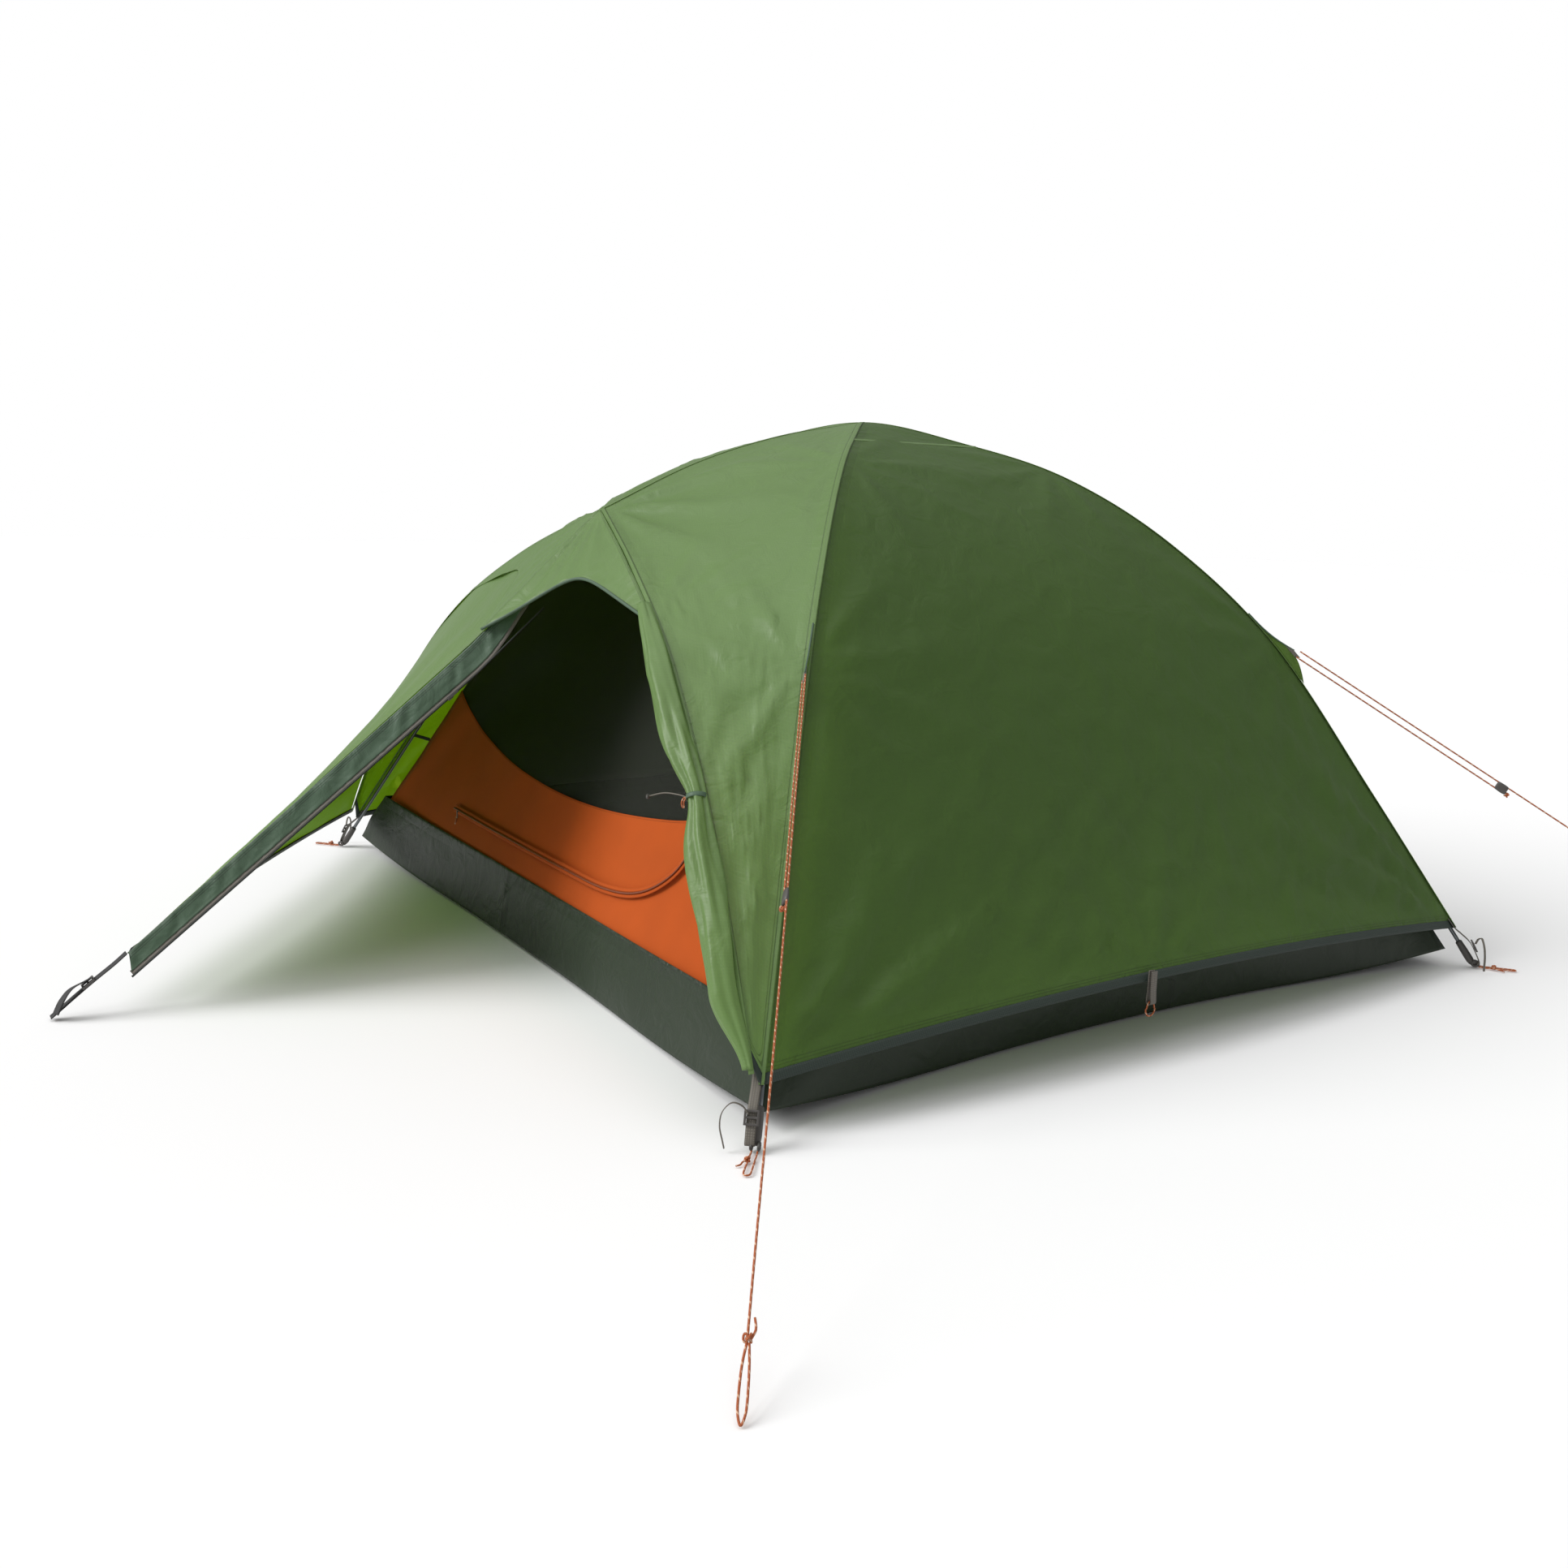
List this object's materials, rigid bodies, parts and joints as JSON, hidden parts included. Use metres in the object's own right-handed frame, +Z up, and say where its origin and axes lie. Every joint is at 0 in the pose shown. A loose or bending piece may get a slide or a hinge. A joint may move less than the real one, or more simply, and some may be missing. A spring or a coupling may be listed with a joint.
{
  "type": "tent on poles",
  "caption": "Ridge-porch dome tent on crossing alloy poles, pitched, with bathtub groundsheet, inner tent, open porch door, corner guy lines and peg loops.",
  "frame": {"origin": "centre of the groundsheet, on the ground", "axes": "+Z up, +X along the long side of the floor, -Y towards the porch and door"},
  "size_m": [2.8109, 3.1687, 1.1626],
  "materials": {
    "fly_dark": "ripstop polyester, semi-matt coating",
    "fly_light": "ripstop polyester, semi-matt coating",
    "fly_trim": "coated polyester tape",
    "groundsheet": "coated polyester, satin",
    "inner_fabric": "breathable nylon",
    "inner_mesh": "fine mesh",
    "inner_orange": "breathable polyester, matt",
    "pole_alloy": "anodised, satin",
    "plastic": "moulded, matt",
    "zip_metal": "satin",
    "webbing": "woven",
    "cord": "braided, with reflective flecks"
  },
  "bodies": {
    "tent": {"fly_right": "fly_dark", "fly_left": "fly_dark", "fly_rear": "fly_dark", "guy_gusset_a": "fly_dark", "guy_gusset_c": "fly_dark", "fly_front_right": "fly_light", "fly_front_left": "fly_light", "brow_hood": "fly_light", "porch_panel": "fly_light", "porch_door_rolled": "fly_light", "porch_zip_flap": "fly_trim", "groundsheet": "groundsheet", "inner_right_wall": "inner_fabric", "inner_left_wall": "inner_fabric", "inner_rear_wall": "inner_fabric", "inner_front_mesh": "inner_mesh", "inner_front_panel": "inner_orange", "pole_upper_a": "pole_alloy", "pole_upper_b": "pole_alloy", "pole_upper_c": "pole_alloy", "pole_upper_d": "pole_alloy", "pole_lower_a": "pole_alloy", "pole_lower_b": "pole_alloy", "pole_lower_c": "pole_alloy", "pole_lower_d": "pole_alloy", "ridge_pole": "pole_alloy", "pole_hub": "plastic", "pole_foot_a": "plastic", "pole_foot_b": "plastic", "pole_foot_c": "plastic", "pole_foot_d": "plastic", "corner_strap_a": "webbing", "corner_strap_b": "webbing", "corner_strap_c": "webbing", "corner_strap_d": "webbing", "side_tab_right": "webbing", "side_tab_left": "webbing", "porch_strap": "webbing", "guy_line_a": "cord", "guy_line_c": "cord", "guy_return_a": "cord", "guy_return_c": "cord", "guy_knot_a": "cord", "guy_knot_c": "cord"},
    "guy_runner_a": {"guy_runner_a": "plastic"},
    "guy_runner_c": {"guy_runner_c": "plastic"},
    "peg_loop_a": {"peg_loop_a": "cord"},
    "ladder_buckle_a": {"ladder_buckle_a": "plastic"},
    "peg_loop_b": {"peg_loop_b": "cord"},
    "ladder_buckle_b": {"ladder_buckle_b": "plastic"},
    "peg_loop_c": {"peg_loop_c": "cord"},
    "ladder_buckle_c": {"ladder_buckle_c": "plastic"},
    "peg_loop_d": {"peg_loop_d": "cord"},
    "ladder_buckle_d": {"ladder_buckle_d": "plastic"},
    "side_ring_right": {"side_ring_right": "cord"},
    "side_ring_left": {"side_ring_left": "cord"},
    "porch_zip_slider": {"porch_zip_slider": "zip_metal"},
    "inner_zip_slider": {"inner_zip_slider": "zip_metal"},
    "strap_adjuster": {"strap_adjuster": "plastic"},
    "door_toggle": {"door_toggle": "plastic"}
  },
  "joints": [
    {"name": "guy_runner_a_slide", "type": "slide", "parent": "tent", "child": "guy_runner_a", "axis": [0.6886, -0.5005, -0.5247], "range_m": [-0.3, 0]},
    {"name": "guy_runner_c_slide", "type": "slide", "parent": "tent", "child": "guy_runner_c", "axis": [0.6494, 0.5587, -0.5159], "range_m": [-0.3, 0]},
    {"name": "peg_loop_a_lift", "type": "hinge", "parent": "tent", "child": "peg_loop_a", "pos_m": [1.10187, -0.94446, 0.004], "axis": [-0.6508, -0.7593, 0], "range_deg": [0, 75]},
    {"name": "ladder_buckle_a_tilt", "type": "hinge", "parent": "tent", "child": "ladder_buckle_a", "pos_m": [1.08292, -0.93875, 0.06157], "axis": [-0.6508, -0.7593, 0], "range_deg": [0, 35]},
    {"name": "peg_loop_b_lift", "type": "hinge", "parent": "tent", "child": "peg_loop_b", "pos_m": [-1.10187, -0.94446, 0.004], "axis": [-0.6508, 0.7593, 0], "range_deg": [0, 75]},
    {"name": "ladder_buckle_b_tilt", "type": "hinge", "parent": "tent", "child": "ladder_buckle_b", "pos_m": [-1.09333, -0.9266, 0.06157], "axis": [-0.6508, 0.7593, 0], "range_deg": [0, 35]},
    {"name": "peg_loop_c_lift", "type": "hinge", "parent": "tent", "child": "peg_loop_c", "pos_m": [1.10187, 0.94446, 0.004], "axis": [0.6508, -0.7593, 0], "range_deg": [0, 75]},
    {"name": "ladder_buckle_c_tilt", "type": "hinge", "parent": "tent", "child": "ladder_buckle_c", "pos_m": [1.09333, 0.9266, 0.06157], "axis": [0.6508, -0.7593, 0], "range_deg": [0, 35]},
    {"name": "peg_loop_d_lift", "type": "hinge", "parent": "tent", "child": "peg_loop_d", "pos_m": [-1.10187, 0.94446, 0.004], "axis": [0.6508, 0.7593, 0], "range_deg": [0, 75]},
    {"name": "ladder_buckle_d_tilt", "type": "hinge", "parent": "tent", "child": "ladder_buckle_d", "pos_m": [-1.08292, 0.93875, 0.06157], "axis": [0.6508, 0.7593, 0], "range_deg": [0, 35]},
    {"name": "side_ring_right_swing", "type": "hinge", "parent": "tent", "child": "side_ring_right", "pos_m": [1.101, -0.1, 0.098], "axis": [0, -1, 0], "range_deg": [-10, 80]},
    {"name": "side_ring_left_swing", "type": "hinge", "parent": "tent", "child": "side_ring_left", "pos_m": [-1.101, -0.1, 0.098], "axis": [0, 1, 0], "range_deg": [-10, 80]},
    {"name": "porch_zip_slide", "type": "slide", "parent": "tent", "child": "porch_zip_slider", "axis": [-0.0116, -0.7795, -0.6263], "range_m": [0, 0.7]},
    {"name": "inner_zip_slide", "type": "slide", "parent": "tent", "child": "inner_zip_slider", "axis": [1, 0, 0], "range_m": [0, 0.78]},
    {"name": "strap_adjuster_slide", "type": "slide", "parent": "tent", "child": "strap_adjuster", "axis": [0, -0.7913, -0.6114], "range_m": [-0.02, 0.04]},
    {"name": "door_toggle_turn", "type": "hinge", "parent": "tent", "child": "door_toggle", "pos_m": [0.627, -0.885, 0.458], "axis": [0, 0, 1], "range_deg": [-45, 45]}
  ]
}
